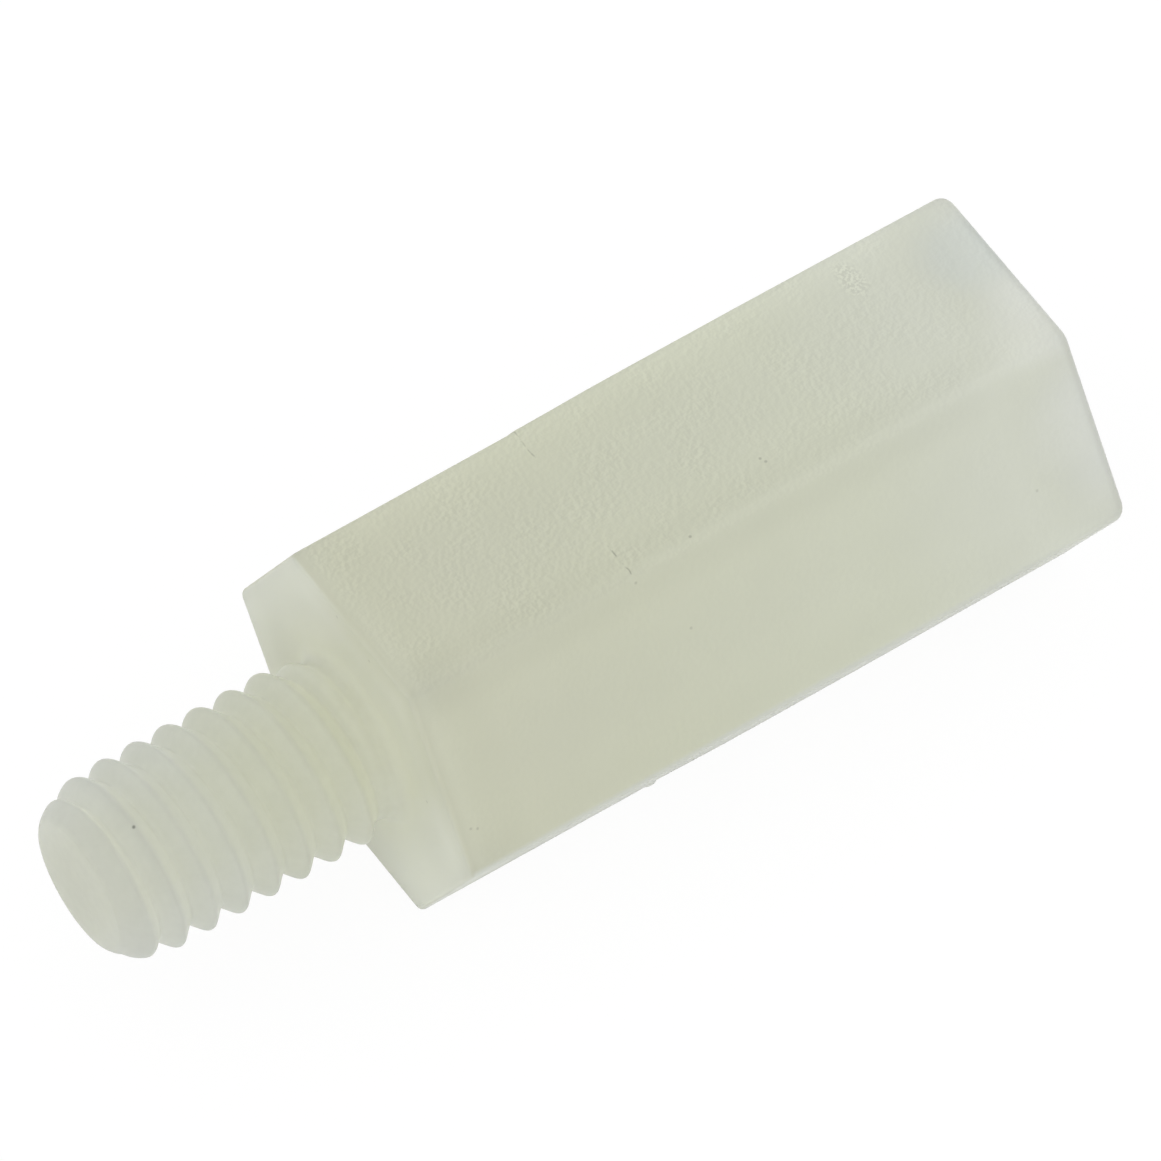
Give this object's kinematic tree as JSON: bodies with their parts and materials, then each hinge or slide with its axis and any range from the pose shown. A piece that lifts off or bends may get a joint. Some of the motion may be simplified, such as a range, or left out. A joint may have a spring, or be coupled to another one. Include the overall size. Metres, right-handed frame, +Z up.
{
  "type": "hex standoff",
  "caption": "Moulded nylon hex standoff with a threaded stud at one end and a tapped blind socket at the other, to hold a circuit board or panel off its base.",
  "frame": {"origin": "middle of the underside, on the surface that the standoff lies on", "axes": "+X along the axis, from the stud towards the socket; +Z up, out of the flat opposite the one that it lies on"},
  "size_m": [0.0212, 0.008, 0.0071],
  "materials": {
    "natural_nylon": "unpigmented translucent nylon, satin, with a fine moulded grain on the flats"
  },
  "bodies": {
    "root": {"standoff": "natural_nylon"}
  },
  "joints": []
}
